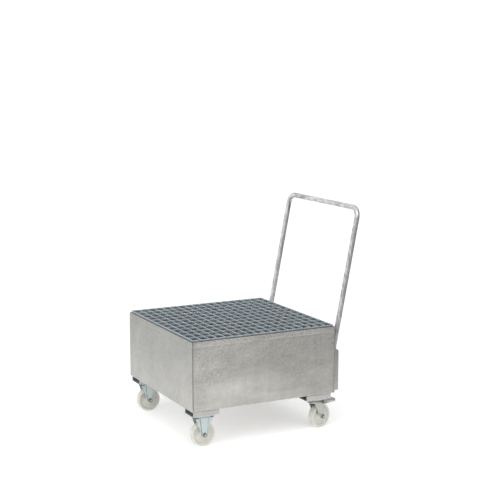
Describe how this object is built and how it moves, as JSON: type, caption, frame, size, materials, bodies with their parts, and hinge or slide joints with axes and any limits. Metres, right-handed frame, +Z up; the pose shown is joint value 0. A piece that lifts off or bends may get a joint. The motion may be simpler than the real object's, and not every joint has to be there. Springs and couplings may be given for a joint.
{
  "type": "drum dolly",
  "caption": "Wheeled galvanised spill sump for a drum: open square tray with lift-out grating, fixed castors at one end, braked swivel castors and a plug-in push handle at the other.",
  "frame": {"origin": "on the floor, below the middle of the whole object's box", "axes": "+Z up, +X towards the push handle, +Y to the right-hand side of a person at the handle"},
  "size_m": [0.9898, 0.816, 1.1631],
  "materials": {
    "galvanised_sheet": "hot-dip galvanised sheet, satin with fine spangle",
    "galvanised_grating": "hot-dip galvanised bars, cool grey",
    "galvanised_tube": "galvanised tube, bright satin",
    "zinc_pressing": "blue passivated zinc plate, semi-gloss",
    "nylon": "cream polyamide, satin",
    "steel_fastener": "zinc-plated steel, slightly dulled",
    "brake_lining": "matt dark lining"
  },
  "bodies": {
    "tray": {"sump_shell": "galvanised_sheet", "end_wall_front": "galvanised_sheet", "end_wall_rear": "galvanised_sheet", "grating_ledge_left": "galvanised_sheet", "grating_ledge_right": "galvanised_sheet", "grating_ledge_front": "galvanised_sheet", "grating_ledge_rear": "galvanised_sheet", "castor_bracket_front_left": "galvanised_sheet", "castor_bracket_front_right": "galvanised_sheet", "castor_bracket_rear_left": "galvanised_sheet", "castor_bracket_rear_right": "galvanised_sheet", "handle_socket_left": "galvanised_sheet", "handle_socket_right": "galvanised_sheet", "fixed_fork_left": "zinc_pressing", "fixed_wheel_sleeve_left": "steel_fastener", "fixed_axle_bolt_left": "steel_fastener", "fixed_axle_nut_left": "steel_fastener", "swivel_plate_left": "zinc_pressing", "swivel_race_left": "zinc_pressing", "swivel_kingpin_left": "steel_fastener", "fixed_fork_right": "zinc_pressing", "fixed_wheel_sleeve_right": "steel_fastener", "fixed_axle_bolt_right": "steel_fastener", "fixed_axle_nut_right": "steel_fastener", "swivel_plate_right": "zinc_pressing", "swivel_race_right": "zinc_pressing", "swivel_kingpin_right": "steel_fastener"},
    "grating": {"grating": "galvanised_grating"},
    "handle": {"push_handle": "galvanised_tube"},
    "fixed_wheel_left": {"fixed_wheel_left": "nylon"},
    "swivel_left": {"swivel_fork_left": "zinc_pressing", "swivel_wheel_sleeve_left": "steel_fastener", "swivel_axle_bolt_left": "steel_fastener", "swivel_axle_nut_left": "steel_fastener", "brake_pin_left": "steel_fastener", "brake_spring_left": "steel_fastener"},
    "swivel_wheel_left": {"swivel_wheel_left": "nylon"},
    "brake_left": {"brake_pedal_left": "zinc_pressing", "brake_shoe_left": "brake_lining"},
    "fixed_wheel_right": {"fixed_wheel_right": "nylon"},
    "swivel_right": {"swivel_fork_right": "zinc_pressing", "swivel_wheel_sleeve_right": "steel_fastener", "swivel_axle_bolt_right": "steel_fastener", "swivel_axle_nut_right": "steel_fastener", "brake_pin_right": "steel_fastener", "brake_spring_right": "steel_fastener"},
    "swivel_wheel_right": {"swivel_wheel_right": "nylon"},
    "brake_right": {"brake_pedal_right": "zinc_pressing", "brake_shoe_right": "brake_lining"}
  },
  "joints": [
    {"name": "grating_lift", "type": "slide", "parent": "tray", "child": "grating", "axis": [0, 0, 1], "range_m": [0, 0.3]},
    {"name": "handle_pull_out", "type": "slide", "parent": "tray", "child": "handle", "axis": [0, 0, 1], "range_m": [0, 0.22]},
    {"name": "fixed_wheel_spin_left", "type": "hinge", "parent": "tray", "child": "fixed_wheel_left", "pos_m": [-0.41502, -0.35, 0.0625], "axis": [0, 1, 0], "continuous": true},
    {"name": "swivel_turn_left", "type": "hinge", "parent": "tray", "child": "swivel_left", "pos_m": [0.23098, -0.35, 0.1542], "axis": [0, 0, 1], "continuous": true},
    {"name": "swivel_wheel_spin_left", "type": "hinge", "parent": "swivel_left", "child": "swivel_wheel_left", "pos_m": [0.26785, -0.34081, 0.0625], "axis": [-0.2419, 0.9703, 0], "continuous": true},
    {"name": "brake_press_left", "type": "hinge", "parent": "swivel_left", "child": "brake_left", "pos_m": [0.27173, -0.33984, 0.1362], "axis": [-0.2419, 0.9703, 0], "range_deg": [0, 10]},
    {"name": "fixed_wheel_spin_right", "type": "hinge", "parent": "tray", "child": "fixed_wheel_right", "pos_m": [-0.41502, 0.35, 0.0625], "axis": [0, 1, 0], "continuous": true},
    {"name": "swivel_turn_right", "type": "hinge", "parent": "tray", "child": "swivel_right", "pos_m": [0.23098, 0.35, 0.1542], "axis": [0, 0, 1], "continuous": true},
    {"name": "swivel_wheel_spin_right", "type": "hinge", "parent": "swivel_right", "child": "swivel_wheel_right", "pos_m": [0.26785, 0.34081, 0.0625], "axis": [0.2419, 0.9703, 0], "continuous": true},
    {"name": "brake_press_right", "type": "hinge", "parent": "swivel_right", "child": "brake_right", "pos_m": [0.27173, 0.33984, 0.1362], "axis": [0.2419, 0.9703, 0], "range_deg": [0, 10]}
  ]
}
